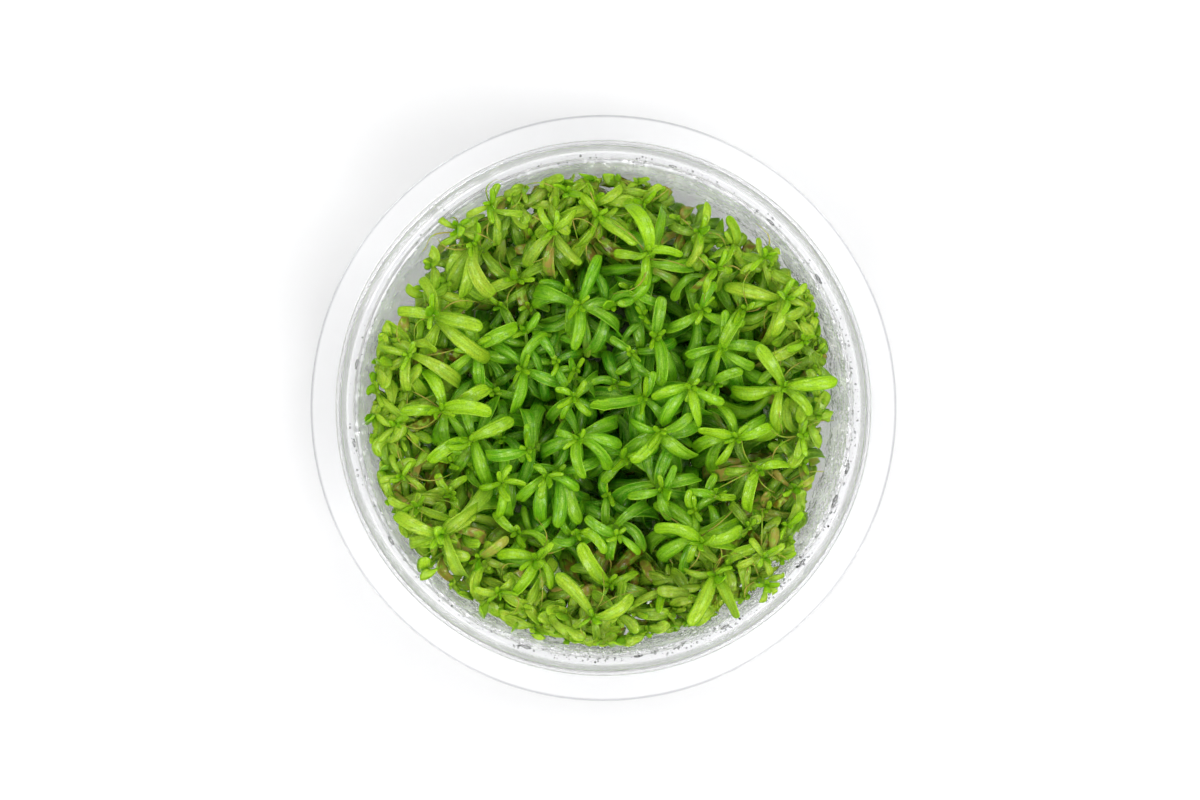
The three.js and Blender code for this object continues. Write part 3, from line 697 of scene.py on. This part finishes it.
def add_leaf(growth, leaf, tone, fine=True, crumple=0.0):
    """A blade along a leaf's frames. A crumpled one is a wavy spatula."""
    s = FINE_RINGS if fine else PLAIN_RINGS
    top, under = FINE_ACROSS if fine else PLAIN_ACROSS
    seed = leaf.seed
    points, side, normal = leaf_frames(leaf, s, stray(seed + 12, BLADE_BOW) * leaf.length)
    twist = (math.radians(stray(seed + 5, BLADE_TWIST)) * (s - TWIST_FROM))[:, None]
    side, normal = side * np.cos(twist) + normal * np.sin(twist), normal * np.cos(twist) - side * np.sin(twist)
    share = blade_width(s, 0.5 + stray(seed + 11, 0.5) * (1 - crumple) + 0.5 * crumple)[:, None]
    half = leaf.width / 2 * share
    wave = near(seed + 7, *WAVE) * (1 + CRUMPLE * crumple)
    ripple = np.sin(2 * math.pi * near(seed + 8, *WAVES) * s + stray(seed + 9, math.pi))[:, None]
    slim = min(1, leaf.width / 2)
    u = np.array(top + under, float)
    above = np.arange(len(u)) < len(top)
    height = np.where(above, *BLADE_SIDES) * (BLADE_THICKNESS * slim) * np.sqrt(np.clip(1 - u * u, 0, 1))
    height += np.exp(-((u / MIDRIB_WIDTH) ** 2)) * np.where(above, *MIDRIB_SIDES) * MIDRIB * slim
    margin = near(seed + 6, *BLADE_FOLD) * np.abs(u) ** 1.5 + wave * ripple * u * np.abs(u)
    offset = height * np.minimum(share * 1.4, 1) + half * margin
    rings = points[:, None] + side[:, None] * (half * u)[..., None] + normal[:, None] * offset[..., None]
    growth.add_rings(rings, blade_of(u, s, abs(stray(seed + 10, 1))), tone)


def add_stem(growth, stem, start, radii, steps):
    """A stem from a share of its height to its crown. The radii are those at its foot and its crown."""
    t = np.linspace(start, 1.0, steps)
    points = stem_points(stem, t)
    along = unit(np.gradient(points, axis=0))
    side = unit(np.cross(along, (0.0, 1.0, 0.0)))
    rings = tube(points, side, np.cross(along, side), between(radii, np.clip(t, 0, 1) ** 2), STEM_FACETS)
    growth.add_rings(rings, blade_of(np.arange(STEM_FACETS) * 2 / STEM_FACETS - 1, t, 0), STEM_TONE)


# A tone is (age, dull, brown, stem), each from 0 to 1. Age also holds painted shade towards the middle of the tuft, and
# dull painted light from the wall by the rim.
BUD_TONE = (0.0, 0.0, 0.0, 0.0)
STEM_TONE = (0.3, 0.2, 0.0, 1.0)
ROOT_TONE = (0.0, 0.0, 0.0, 0.6)
THREAD_TONE = (0.0, 1.0, 1.0, 0.0)
# Age and dullness of a shoot by its tone, and the slot of its material
TONES = {"lime": (-0.05, 0.0, "young_leaf"), "green": (0.22, 0.1, "leaf"), "olive": (0.4, 0.55, "old_leaf")}
LEVEL_AGE = (0.08, 0.18, 0.36, 0.5, 0.66, 0.8, 0.9, 0.95, 1.0, 1.0)
BRANCH_AGE = 0.1  # by which side shoots look older
RIM_DULL_AND_WALL_LIGHT = (25.0, 36.0), 0.78  # radii between which shoots grow duller, and by how much: partly duller leaves by the rim, partly painted light from the wall that makes them paler
CENTRE_SHADE = (12.0, 30.0), 0.2, 0.34  # the same for their age, which falls from this much more by this much: painted shade towards the middle, older and deeper green, and painted light towards the rim, younger and limer
BROWN = (0.9, 5)  # chance from which leaves turn brown, and how fast beyond
RIM_BROWN = 0.26  # how many more do by the rim
# Places where the leaves under the crowns are old: x, y and radius.
OLD_PLACES = ((1, -33, 9), (27, -14, 9), (34, 10, 7), (13, 32, 7), (-12, 27, 8), (-31, -16, 5))
OLD = (0.55, 0.8, 0.35)  # how much older, duller and more often brown


def old_at(place):
    """How old the lower leaves are at a place, from 0 to 1."""
    return max(1 - float(smooth(math.hypot(place[0] - x, place[1] - y), r / 3, r)) for x, y, r in OLD_PLACES)


def leaf_tone(tone, level, seed, place, more=0.0):
    radius = math.hypot(*place)
    rim = float(smooth(radius, *RIM_DULL_AND_WALL_LIGHT[0]))
    old = old_at(place) if level > 0 else 0.0
    # Painted shade: leaves look older and deeper green towards the middle of the tuft, limer towards the rim
    centre_shade = CENTRE_SHADE[1] - CENTRE_SHADE[2] * float(smooth(radius, *CENTRE_SHADE[0]))
    age_and_shade = clamped(near(seed + 20, LEVEL_AGE[level] + TONES[tone][0], 0.16) + more + centre_shade + old * OLD[0])
    # Duller and paler by the rim, partly in painted light from the wall
    dull_and_wall_light = clamped(near(seed + 21, TONES[tone][1], 0.15) + rim * RIM_DULL_AND_WALL_LIGHT[1] + old * OLD[1])
    brown = clamped((near(seed + 22, 0.5, 0.5) - BROWN[0] + rim * RIM_BROWN + old * OLD[2]) * BROWN[1])
    return (age_and_shade, dull_and_wall_light, brown if level > 1 or tone == "olive" else 0.0, 0.0)


def make_shoot(shoot):
    growth = Growth()
    index = shoot.index
    below = (GEL_TOP - shoot.foot[2] - STEM_DEPTH) / shoot.height
    add_stem(growth, shoot, below, (STEM_RADIUS, STEM_TIP), 18)
    for leaf in shoot.leaves:
        look = leaf_tone(shoot.tone, leaf.level, leaf.seed, shoot.crown[:2])
        add_leaf(growth, leaf, look, leaf.level < SOLID_LEVELS, float(shoot.size <= CRUMPLED_SIZE))
    for leaf in buds_of(shoot, index * 91):
        add_leaf(growth, leaf, BUD_TONE, False)
    for leaf in spent_leaves_of(shoot, index * 37 + SPENT_SEED):
        add_leaf(growth, leaf, (1.0, 0.6, near(leaf.seed, 0.5, 0.5), 0.0), False)
    add_roots(growth, shoot, index * 41 + ROOT_SEED)
    if math.hypot(*shoot.crown[:2]) > THREAD_ROOM:
        add_threads(growth, shoot, index * 43 + THREAD_SEED)
    for branch in shoot.branches:
        add_stem(growth, branch, 0.0, (STEM_TIP, BRANCH_TIP), 8)
        for leaf in branch.leaves:
            look = leaf_tone(shoot.tone, leaf.level + 1, leaf.seed, branch.crown[:2], BRANCH_AGE)
            add_leaf(growth, leaf, look, leaf.level < 1, branch.rim)
        for leaf in buds_of(branch, branch.seed, BRANCH_BUDS):
            # Buds by the rim are duller too, partly in painted light from the wall
            add_leaf(growth, leaf, (0.05, 0.6 * branch.rim, 0.0, 0.0), False)
    return growth.build(f"leafy_shoot_{index + 1:02d}")


# The cup and the gel: bodies turned about +Z, from corners of (radius, height, rounding)
LATHE_FACETS = 256
LATHE_SHARP = math.radians(50)
ROUNDING_STEPS = np.linspace(0, 1, 5)
FOOT_RADIUS = RECESS_RADIUS + FOOT_RECESS
MENISCUS = (1.6, 0.7)  # width and height of the gel's raised rim


def rounded(corners):
    points = []
    for i, (*here, rounding) in enumerate(corners):
        here = np.array(here, float)
        if not rounding:
            points.append(here)
            continue
        before, after = (rounding * unit(np.array(corners[i + way][:2], float) - here) for way in (-1, 1))
        points.extend(here + before * (1 - t) ** 2 + after * t * t for t in ROUNDING_STEPS)
    return points


def lathe(name, corners):
    """A body from a profile that starts and ends on the axis, anticlockwise."""
    profile = rounded(corners)
    n = LATHE_FACETS
    angle = np.arange(n) * 2 * math.pi / n
    rings = [np.column_stack((r * np.cos(angle), r * np.sin(angle), np.full(n, z))) for r, z in profile[1:-1]]
    faces = bands(0, len(rings), n)
    last, start = (len(rings) - 1) * n, len(rings) * n
    faces.extend((start, (a + 1) % n, a) for a in range(n))
    faces.extend((last + a, last + (a + 1) % n, start + 1) for a in range(n))
    poles = [(0, 0, profile[end][1]) for end in (0, -1)]
    piece = make_piece(name, np.vstack(rings + poles), faces)
    piece.data.set_sharp_from_angle(angle=LATHE_SHARP)
    piece.data.update()
    return piece


FLANGE_FOOT = CUP_HEIGHT - FLANGE_THICKNESS
CUP_PROFILE = (
    (0, FOOT_RECESS, 0), (RECESS_RADIUS, FOOT_RECESS, 0.6),
    (FOOT_RADIUS, 0, 0.6), (FLOOR_RADIUS + WALL, 0, 3.0),
    (LEDGE_RADIUS + WALL, LEDGE - WALL, 0.5), (COLLAR_RADIUS + WALL, LEDGE - WALL, 0.7),
    (MOUTH_RADIUS + WALL, FLANGE_FOOT, 0.3), (FLANGE_RADIUS, FLANGE_FOOT, 0.12),
    (FLANGE_RADIUS, CUP_HEIGHT, 0.12), (MOUTH_RADIUS, CUP_HEIGHT, 0.5),
    (COLLAR_RADIUS, LEDGE, 0.4), (LEDGE_RADIUS, LEDGE, 0.5),
    (FLOOR_RADIUS, WALL, 2.2), (FOOT_RADIUS, WALL, 0.6),
    (RECESS_RADIUS, FOOT_RECESS + WALL, 0.6), (0, FOOT_RECESS + WALL, 0),
)

GEL_RADIUS = wall_radius(GEL_TOP) - GAP
GEL_FOOT = WALL + GAP
GEL_PROFILE = (
    (0, FOOT_RECESS + GEL_FOOT, 0), (RECESS_RADIUS, FOOT_RECESS + GEL_FOOT, 0.6),
    (FOOT_RADIUS, GEL_FOOT, 0.6), (FLOOR_RADIUS - GAP, GEL_FOOT, 2.2),
    (GEL_RADIUS, GEL_TOP, 0.1), (GEL_RADIUS - MENISCUS[0], GEL_TOP - MENISCUS[1], 0.8),
    (0, GEL_TOP - MENISCUS[1], 0),
)


# Water inside the cup: count of the drops, from where to where they are, on what, least and most radius. Where is a
# height on the wall and the collar, and a radius on the ledge.
WALL_DROPS = [(3600, 34.0, LEDGE - 0.3, "wall", (0.12, 0.48))]
RIM_DROPS = [(1300, LEDGE_RADIUS + 0.3, COLLAR_RADIUS - 0.3, "ledge", (0.06, 0.24))]
RIM_DROPS += [(220, LEDGE + 0.4, CUP_HEIGHT - 1.5, "collar", (0.06, 0.2))]
BAREST = 0.1  # share of the drops on the barest side
FULLEST = math.radians(-40)  # bearing of the fullest side
DROP_FACETS = 6
DROP_RINGS = ((1.0, 0.0), (0.75, 0.4))  # share of the radius across, and high
DROP_TOP = 0.58
DROP_LIFT = 0.03  # off the surface
DROP_STRETCH = (-0.1, 1.6)
# Drops that have run together on the ledge: bearing, radius and size
RUNS = ((-14, 41.3, 0.34), (-22, 41.0, 0.4), (-38, 41.4, 0.3), (31, 41.2, 0.32), (48, 41.1, 0.26), (-61, 41.2, 0.28))
RUNS += ((170, 41.2, 0.3), (188, 41.4, 0.26), (212, 41.2, 0.3), (252, 41.3, 0.32), (-82, 41.2, 0.26), (74, 41.3, 0.24))
RUN_STRETCH = 3.2


def add_drop(vertices, faces, centre, along, across, size):
    n, start = DROP_FACETS, len(vertices)
    normal = unit(np.cross(along, across))
    angle = (np.arange(n) * 2 * math.pi / n)[:, None]
    centre = centre + normal * DROP_LIFT
    ring = along * np.cos(angle) + across * np.sin(angle)
    for wide, high in DROP_RINGS:
        vertices.extend((centre + ring * size * wide + normal * size * high).tolist())
    vertices.append((centre + normal * size * DROP_TOP).tolist())
    faces.append(tuple(start + i for i in reversed(range(n))))
    for i in range(n):
        j = (i + 1) % n
        faces.append((start + i, start + j, start + n + j, start + n + i))
        faces.append((start + n + i, start + n + j, start + 2 * n))


def make_drops(name, rows, seed, runs=()):
    """A mist of drops, thickest on one side, and those that have run together."""
    vertices, faces = [], []
    random = np.random.default_rng(seed)
    slope = math.atan2(LEDGE_RADIUS - FLOOR_RADIUS, LEDGE)
    for count, low, high, place, sizes in rows:
        for _ in range(count):
            turn = random.uniform(0, 2 * math.pi)
            where = random.uniform(low, high)
            size = between(sizes, random.random() ** 3)
            fullness = 0.5 + 0.5 * math.cos(turn - FULLEST)
            if random.random() > between((BAREST, 1), fullness):
                continue
            outward, around = compass(turn)
            stretch = 1 + random.uniform(*DROP_STRETCH) * (place == "wall")
            if place == "ledge":
                add_drop(vertices, faces, outward * where + UP * LEDGE, outward * stretch, around, size)
                continue
            centre = outward * wall_radius(where) + UP * where
            rise = UP if place == "collar" else UP * math.cos(slope) + outward * math.sin(slope)
            add_drop(vertices, faces, centre, around, rise * stretch, size)
    for bearing, radius, size in runs:
        outward, around = compass(math.radians(bearing))
        add_drop(vertices, faces, outward * radius + UP * LEDGE, outward, around * RUN_STRETCH, size)
    return make_piece(name, vertices, faces)


# Materials, in metres. Colours are sRGB from 0 to 255 where rgb() takes them, and linear elsewhere.
def rgb(red, green, blue):
    linear = [c / 255 / 12.92 if c <= 10 else ((c / 255 + 0.055) / 1.055) ** 2.4 for c in (red, green, blue)]
    return (*linear, 1.0)


class Nodes:
    def __init__(self, name):
        self.material = bpy.data.materials.new(name)
        self.material.use_nodes = True
        self.tree = self.material.node_tree
        self.tree.nodes.clear()

    @cached_property
    def place(self):
        return self.node("TexCoord").outputs["Object"]

    def node(self, kind, inputs=None, **settings):
        node = self.tree.nodes.new("ShaderNode" + kind)
        for key, value in settings.items():
            setattr(node, key, value)
        for key, value in (inputs or {}).items():
            if isinstance(value, bpy.types.NodeSocket):
                self.tree.links.new(value, node.inputs[key])
            else:
                node.inputs[key].default_value = value
        return node

    def math(self, operation, a, b=0.0):
        return self.node("Math", {0: a, 1: b}, operation=operation).outputs[0]

    def times(self, a, b):
        return self.math("MULTIPLY", a, b)

    def plus(self, a, b):
        return self.math("ADD", a, b)

    def minus(self, a, b):
        return self.math("SUBTRACT", a, b)

    def ramp(self, value, low, high, start=0.0, end=1.0):
        inputs = {"Value": value, "From Min": low, "From Max": high, "To Min": start, "To Max": end}
        return self.node("MapRange", inputs, interpolation_type="SMOOTHSTEP").outputs[0]

    def mix(self, factor, a, b):
        return self.node("Mix", {0: factor, 6: a, 7: b}, data_type="RGBA").outputs[2]

    def split(self, vector):
        return self.node("SeparateXYZ", {0: vector}).outputs

    def noise(self, scale, detail):
        return self.node("TexNoise", {"Vector": self.place, "Scale": scale, "Detail": detail}).outputs["Fac"]

    def cells(self, vector, scale):
        return self.node("TexVoronoi", {"Vector": vector, "Scale": scale}).outputs["Distance"]

    def surface(self, base, roughness, more):
        return self.node("BsdfPrincipled", {"Base Color": base, "Roughness": roughness, **more}).outputs[0]

    def blend(self, share, a, b):
        return self.node("MixShader", {0: share, 1: a, 2: b}).outputs[0]

    def output(self, shader):
        self.node("OutputMaterial", {"Surface": shader})
        return self.material

    def lit_through(self, shader):
        """The same shader, which lamps shine through."""
        lamp = self.node("LightPath").outputs["Is Shadow Ray"]
        clear = self.node("BsdfTransparent", {"Color": (1.0, 1.0, 1.0, 1.0)}).outputs[0]
        return self.output(self.blend(lamp, shader, clear))


def leaf_material():
    n = Nodes("rotala_leaf")
    u, v, seed = n.split(n.node("Attribute", attribute_name="blade").outputs["Vector"])
    tone = n.node("Attribute", attribute_name="tone")
    age_and_shade, dull_and_wall_light, brown = n.node("SeparateColor", {0: tone.outputs["Color"]}).outputs
    side = n.math("ABSOLUTE", u)
    patches = n.noise(900.0, 1.0)
    mottle = n.noise(3500.0, 1.0)
    grain = n.node("CombineXYZ", {0: n.times(u, 4.5), 1: n.times(v, 3.0)}).outputs[0]
    grain = n.node("VectorMath", {0: grain, 1: n.place}, operation="ADD").outputs[0]
    inputs = {"Vector": grain, "W": n.times(seed, 40.0), "Scale": 1.0, "Detail": 1.0}
    streaks = n.node("TexNoise", inputs, noise_dimensions="4D").outputs["Fac"]
    veins = n.math("SINE", n.times(side, 22.0))
    aged_and_shaded = n.plus(age_and_shade, n.times(n.minus(patches, 0.5), 0.35))
    olive = n.mix(n.ramp(aged_and_shaded, 0.3, 0.9), rgb(222, 216, 78), rgb(114, 118, 38))
    # Painted sheen: where a highlight lies along the middle of the blade
    middle = n.times(n.ramp(side, 0.5, 0.05), n.ramp(n.math("ABSOLUTE", n.minus(v, 0.45)), 0.4, 0.1))
    rot = n.mix(n.ramp(seed, 0.2, 0.8), rgb(112, 66, 20), rgb(196, 160, 84))
    stalk = n.mix(n.ramp(v, 0.25, 0.8), rgb(150, 112, 62), rgb(150, 178, 62))
    base = n.mix(n.ramp(aged_and_shaded, 0.0, 0.45), rgb(188, 229, 8), rgb(118, 194, 0))
    base = n.mix(n.ramp(aged_and_shaded, 0.4, 1.0), base, rgb(34, 142, 0))
    # What lies over the green: where, how strong and its colour
    washes = (
        (dull_and_wall_light, 0.75, olive),
        (n.ramp(seed, 0.5, 1.0), 0.22, rgb(30, 104, 10)),
        # The green thins out to lime at the tip, the foot and the margins: partly the blade's own colour, partly a
        # painted glow of light through the thin ends and edges.
        (n.math("MAXIMUM", n.ramp(v, 0.72, 1.0), n.ramp(v, 0.3, 0.0)), 0.46, rgb(186, 230, 14)),
        (n.ramp(side, 0.7, 1.0), 0.5, rgb(190, 226, 70)),
        (n.ramp(veins, 0.2, 1.0), 0.2, rgb(184, 224, 60)),
        (n.ramp(veins, -0.2, -1.0), 0.18, rgb(24, 108, 0)),
        (n.ramp(mottle, 0.42, 0.62), 0.34, rgb(28, 110, 0)),
        (n.ramp(streaks, 0.5, 0.68), 0.36, rgb(186, 230, 50)),
        (n.ramp(streaks, 0.5, 0.34), 0.34, rgb(22, 104, 0)),
        # Painted sheen: a pale band along the middle, with fine pale specks as painted glints
        (middle, 0.3, rgb(184, 228, 96)),
        (n.ramp(n.noise(5200.0, 0.0), 0.54, 0.66), n.ramp(middle, 0.0, 1.0, 0.2, 0.6), rgb(206, 240, 96)),
        (n.ramp(patches, 0.35, 0.6), brown, rot),
    )
    for mask, share, wash in washes:
        base = n.mix(n.times(mask, share), base, wash)
    base = n.mix(tone.outputs["Alpha"], base, stalk)

    papillae = n.cells(n.place, 2600.0)
    relief = n.plus(n.plus(n.times(papillae, -0.6), n.times(streaks, 1.2)), n.times(veins, 0.1))
    bump = n.node("Bump", {"Strength": 0.8, "Distance": 0.00012, "Height": relief}).outputs[0]
    gloss = {"IOR": 1.45, "Specular IOR Level": 0.8, "Specular Tint": (0.9, 1.0, 0.15, 1.0)}
    gloss |= {"Coat Weight": 0.5, "Coat Roughness": 0.16, "Normal": bump}
    surface = n.surface(base, n.ramp(mottle, 0.2, 0.8, 0.3, 0.46), gloss)
    glow = n.mix(0.7, base, rgb(152, 236, 0))
    return n.output(n.blend(0.5, surface, n.node("BsdfTranslucent", {"Color": glow}).outputs[0]))


MIST_HEIGHTS = (0.03, 0.042, 0.045, 0.0456)  # it begins, is full, is still full and has ended
MIST_SHARES = (0.14, 0.3)  # by which its thinnest and its densest patches dull the wall
WALL_FLARE = (LEDGE_RADIUS - FLOOR_RADIUS) / LEDGE
WALL_FACE = ((FLOOR_RADIUS + 0.6) * MM, (FLOOR_RADIUS + 0.3) * MM)  # inwards from its middle, at the floor
WET_SIDE = (-0.026, 0.03)  # across the cup, from no drops on the wall to drops all over it
WET_TURN = math.radians(-38)
DROP_SLIP = 0.25  # scale of the mist's drops along +Z
CLEAR_TINT = (0.95, 0.952, 0.958, 1.0)
CLEARNESS = 0.9
EDGE = (FLANGE_RADIUS * MM - 0.00045, FLANGE_RADIUS * MM - 0.000225)  # painted shade: the flange's edge is painted greyer, as the dark line its rounding shows
EDGE_SHADE = (0.7, 0.705, 0.72, 1.0)
COLLAR_BAND = (0.0398, 0.0404), (0.0431, 0.0427)  # painted shade: the ledge and the collar are painted greyer too, as the grey lines their bends show
COLLAR_SHADE = (0.8, 0.8, 0.812, 1.0)
COLLAR_HAZE = ((LEDGE - 0.2) * MM, (LEDGE + 0.2) * MM), ((MOUTH_RADIUS + 0.2) * MM, MOUTH_RADIUS * MM, 0.0, 0.22)


def cup_material():
    n = Nodes("clear_polystyrene")
    x, y, z = n.split(n.place)
    radius = n.math("SQRT", n.plus(n.times(x, x), n.times(y, y)))
    across = n.plus(n.times(x, math.cos(WET_TURN)), n.times(y, math.sin(WET_TURN)))
    mist = n.times(n.ramp(z, *MIST_HEIGHTS[:2]), n.ramp(z, *MIST_HEIGHTS[:1:-1]))
    mist = n.times(mist, n.ramp(n.minus(radius, n.times(z, WALL_FLARE)), *WALL_FACE))
    tall = n.node("CombineXYZ", {0: x, 1: y, 2: n.times(z, DROP_SLIP)}).outputs[0]
    film = n.ramp(n.noise(420.0, 2.0), 0.42, 0.6)
    wet = n.times(n.times(mist, n.ramp(across, *WET_SIDE)), -3.0)
    height = n.plus(n.times(n.times(n.cells(tall, 2100.0), film), wet), n.times(n.noise(120.0, 0.0), 0.05))
    clearness = n.minus(CLEARNESS, n.times(mist, n.ramp(film, 0.0, 1.0, *MIST_SHARES)))
    clearness = n.minus(clearness, n.times(n.ramp(z, *COLLAR_HAZE[0]), n.ramp(radius, *COLLAR_HAZE[1])))
    band = n.times(n.ramp(radius, *COLLAR_BAND[0]), n.ramp(radius, *COLLAR_BAND[1]))
    # The plastic's own grey tint, with painted shade at the flange's edge, the ledge and the collar
    tint_and_shade = n.mix(n.ramp(radius, *EDGE), n.mix(band, CLEAR_TINT, COLLAR_SHADE), EDGE_SHADE)
    bump = n.node("Bump", {"Strength": 1.0, "Distance": 0.0002, "Height": height}).outputs[0]
    return n.lit_through(n.surface(tint_and_shade, 0.05, {"IOR": 1.49, "Transmission Weight": clearness, "Normal": bump}))


def water_material(name, clearness, shade):
    n = Nodes(name)
    return n.lit_through(n.surface((shade,) * 3 + (1.0,), 0.05, {"IOR": 1.333, "Transmission Weight": clearness}))


GEL_TINTS = (0.7, 0.68, 0.5, 1.0), (0.86, 0.85, 0.7, 1.0)
GEL_LEAF_SHADE = (0.16, 0.34, 0.03, 1.0)  # painted green shade, by which its top looks greener under the leaves
GEL_SHADE = ((GEL_TOP - 3) * MM, (GEL_TOP - 0.8) * MM)


def gel_material():
    n = Nodes("clear_gel")
    tint_and_shade = n.mix(n.ramp(n.noise(160.0, 3.0), 0.3, 0.7), *GEL_TINTS)
    # Painted green shade over the gel's top under the leaves
    tint_and_shade = n.mix(n.times(n.ramp(n.split(n.place)[2], *GEL_SHADE), 0.85), tint_and_shade, GEL_LEAF_SHADE)
    return n.lit_through(n.surface(tint_and_shade, 0.12, {"IOR": 1.336, "Transmission Weight": 0.6}))


def dress(piece, material, node, slot):
    piece.data.materials.append(material)
    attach(piece, "root")
    if node:
        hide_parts(node)


FLOOR_HALF = 3000.0


def make_floor():
    n = Nodes("white_paper")
    corners = [(x * FLOOR_HALF, y * FLOOR_HALF, 0) for x, y in ((-1, -1), (1, -1), (1, 1), (-1, 1))]
    floor = make_piece("floor", corners, [(0, 1, 2, 3)])
    floor.data.materials.append(n.output(n.surface((0.68, 0.68, 0.685, 1.0), 0.9, {"Specular IOR Level": 0.2})))


make_floor()
dress(lathe("clear_cup", CUP_PROFILE), cup_material(), "culture_cup", "clear_plastic")
dress(make_drops("condensation", WALL_DROPS, 11), water_material("water_mist", 0.5, 1.0), None, "clear_plastic")
dress(make_drops("water_runs", RIM_DROPS, 12, RUNS), water_material("clear_water", 1.0, 0.6), None, "clear_plastic")
dress(lathe("culture_gel", GEL_PROFILE), gel_material(), "gel", "gel")

leaf_look = leaf_material()
tuft, crowd = grow_tuft()
for shoot in tuft:
    for wish in lower_leaves_of(shoot):
        crowd.place(shoot, wish, shoot.index)
grow_side_shoots(tuft, crowd)
for shoot in tuft:
    dress(make_shoot(shoot), leaf_look, f"shoot_{shoot.index + 1:02d}", TONES[shoot.tone][2])
